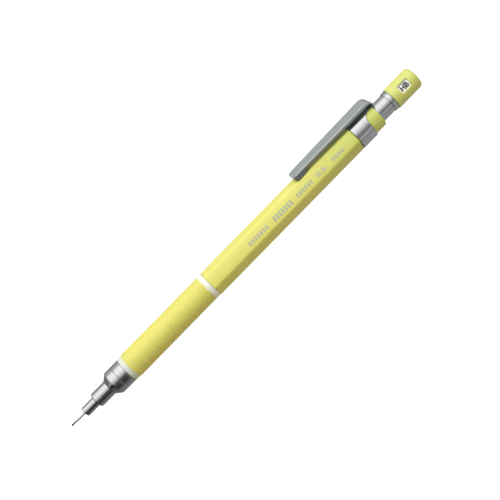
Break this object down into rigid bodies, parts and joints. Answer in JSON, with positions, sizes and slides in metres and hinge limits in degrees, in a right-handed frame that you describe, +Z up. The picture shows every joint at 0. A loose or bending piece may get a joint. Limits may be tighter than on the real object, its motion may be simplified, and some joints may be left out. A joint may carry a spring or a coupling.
{
  "type": "mechanical pencil",
  "caption": "Mechanical pencil with stepped metal nose, ribbed grip, six-sided barrel, pocket clip and push button under a turning cap with a lead grade window.",
  "frame": {"origin": "on the surface the pencil lies on, under the centre of its bounding box", "axes": "+X along the pencil from the lead's point to the cap, +Z up, the clip to the +Y side"},
  "size_m": [0.1394, 0.0107, 0.0085],
  "materials": {
    "nose_chrome": "bright plated brass",
    "bush_chrome": "bright plated brass",
    "pipe_steel": "drawn steel",
    "retainer_rubber": "moulded",
    "clutch_brass": "turned",
    "chuck_brass": "turned",
    "connector_plastic": "moulded",
    "housing_plastic": "moulded",
    "reservoir_plastic": "translucent",
    "liner_plastic": "moulded",
    "spring_steel": "drawn wire",
    "white_trim": "gloss",
    "grip_yellow": "satin, finely ribbed",
    "barrel_yellow": "gloss",
    "cap_yellow": "gloss",
    "band_chrome": "bright plated",
    "tube_chrome": "bright plated",
    "clip_steel": "satin plated",
    "eraser_white": "moulded",
    "graphite": "graphite",
    "drum_white": "gloss"
  },
  "bodies": {
    "barrel": {"thread_bush": "bush_chrome", "chuck_housing": "housing_plastic", "front_trim_ring": "white_trim", "grip": "grip_yellow", "middle_trim_ring": "white_trim", "hex_barrel": "barrel_yellow", "inner_barrel": "liner_plastic", "end_collar": "barrel_yellow", "clip_band": "band_chrome"},
    "push_assembly": {"chuck_body": "chuck_brass", "chuck_connector": "connector_plastic", "lead_reservoir": "reservoir_plastic", "spare_leads": "graphite", "eraser_holder": "housing_plastic", "button_tube": "tube_chrome", "main_spring": "spring_steel"},
    "clutch_ring": {"clutch_ring": "clutch_brass"},
    "lead": {"lead": "graphite"},
    "jaw_1": {"chuck_jaw_1": "chuck_brass"},
    "jaw_2": {"chuck_jaw_2": "chuck_brass"},
    "jaw_3": {"chuck_jaw_3": "chuck_brass"},
    "nose": {"nose_cone": "nose_chrome", "guide_pipe": "pipe_steel", "lead_retainer": "retainer_rubber"},
    "clip": {"clip_arm": "clip_steel"},
    "indicator": {"indicator_ring": "tube_chrome", "indicator_drum": "drum_white"},
    "cap": {"cap_shell": "cap_yellow"},
    "eraser": {"eraser": "eraser_white"}
  },
  "joints": [
    {"name": "push", "type": "slide", "parent": "barrel", "child": "push_assembly", "axis": [-1, 0, 0], "range_m": [0, 0.0035], "stiffness_N_per_m": 900, "springref_m": -0.002, "deforming": ["main_spring"]},
    {"name": "clutch_ring_slide", "type": "slide", "parent": "barrel", "child": "clutch_ring", "axis": [-1, 0, 0], "range_m": [0, 0.00071]},
    {"name": "lead_feed", "type": "slide", "parent": "barrel", "child": "lead", "axis": [-1, 0, 0], "range_m": [0, 0.00071]},
    {"name": "jaw_1_open", "type": "hinge", "parent": "push_assembly", "child": "jaw_1", "pos_m": [-0.04368, -0.00103, 0.0036], "axis": [0, -0.9861, -0.1664], "range_deg": [0, 1.2]},
    {"name": "jaw_2_open", "type": "hinge", "parent": "push_assembly", "child": "jaw_2", "pos_m": [-0.04368, -0.00063, 0.00467], "axis": [0, 0.6371, -0.7708], "range_deg": [0, 1.2]},
    {"name": "jaw_3_open", "type": "hinge", "parent": "push_assembly", "child": "jaw_3", "pos_m": [-0.04368, -0.00176, 0.00448], "axis": [0, 0.3489, 0.9371], "range_deg": [0, 1.2]},
    {"name": "nose_off", "type": "slide", "parent": "barrel", "child": "nose", "axis": [-1, 0, 0], "range_m": [0, 0.024]},
    {"name": "clip_flex", "type": "hinge", "parent": "barrel", "child": "clip", "pos_m": [0.05475, 0.00308, 0.00496], "axis": [0, 0.1664, -0.9861], "range_deg": [0, 5], "stiffness_Nm_per_rad": 0.5},
    {"name": "cap_pull", "type": "slide", "parent": "push_assembly", "child": "indicator", "axis": [1, 0, 0], "range_m": [0, 0.016]},
    {"name": "grade_turn", "type": "hinge", "parent": "indicator", "child": "cap", "pos_m": [0.06535, -0.00114, 0.00425], "axis": [1, 0, 0], "continuous": true},
    {"name": "eraser_pull", "type": "slide", "parent": "push_assembly", "child": "eraser", "axis": [1, 0, 0], "range_m": [0, 0.0081]}
  ],
  "couplings": [
    {"joint": "clutch_ring_slide", "follows": "push", "ratio": 0.2},
    {"joint": "lead_feed", "follows": "push", "ratio": 0.2},
    {"joint": "jaw_1_open", "follows": "push", "rad_per_m": 5.9},
    {"joint": "jaw_2_open", "follows": "push", "rad_per_m": 5.9},
    {"joint": "jaw_3_open", "follows": "push", "rad_per_m": 5.9},
    {"joint": "eraser_pull", "follows": "cap_pull", "ratio": 0.5}
  ]
}
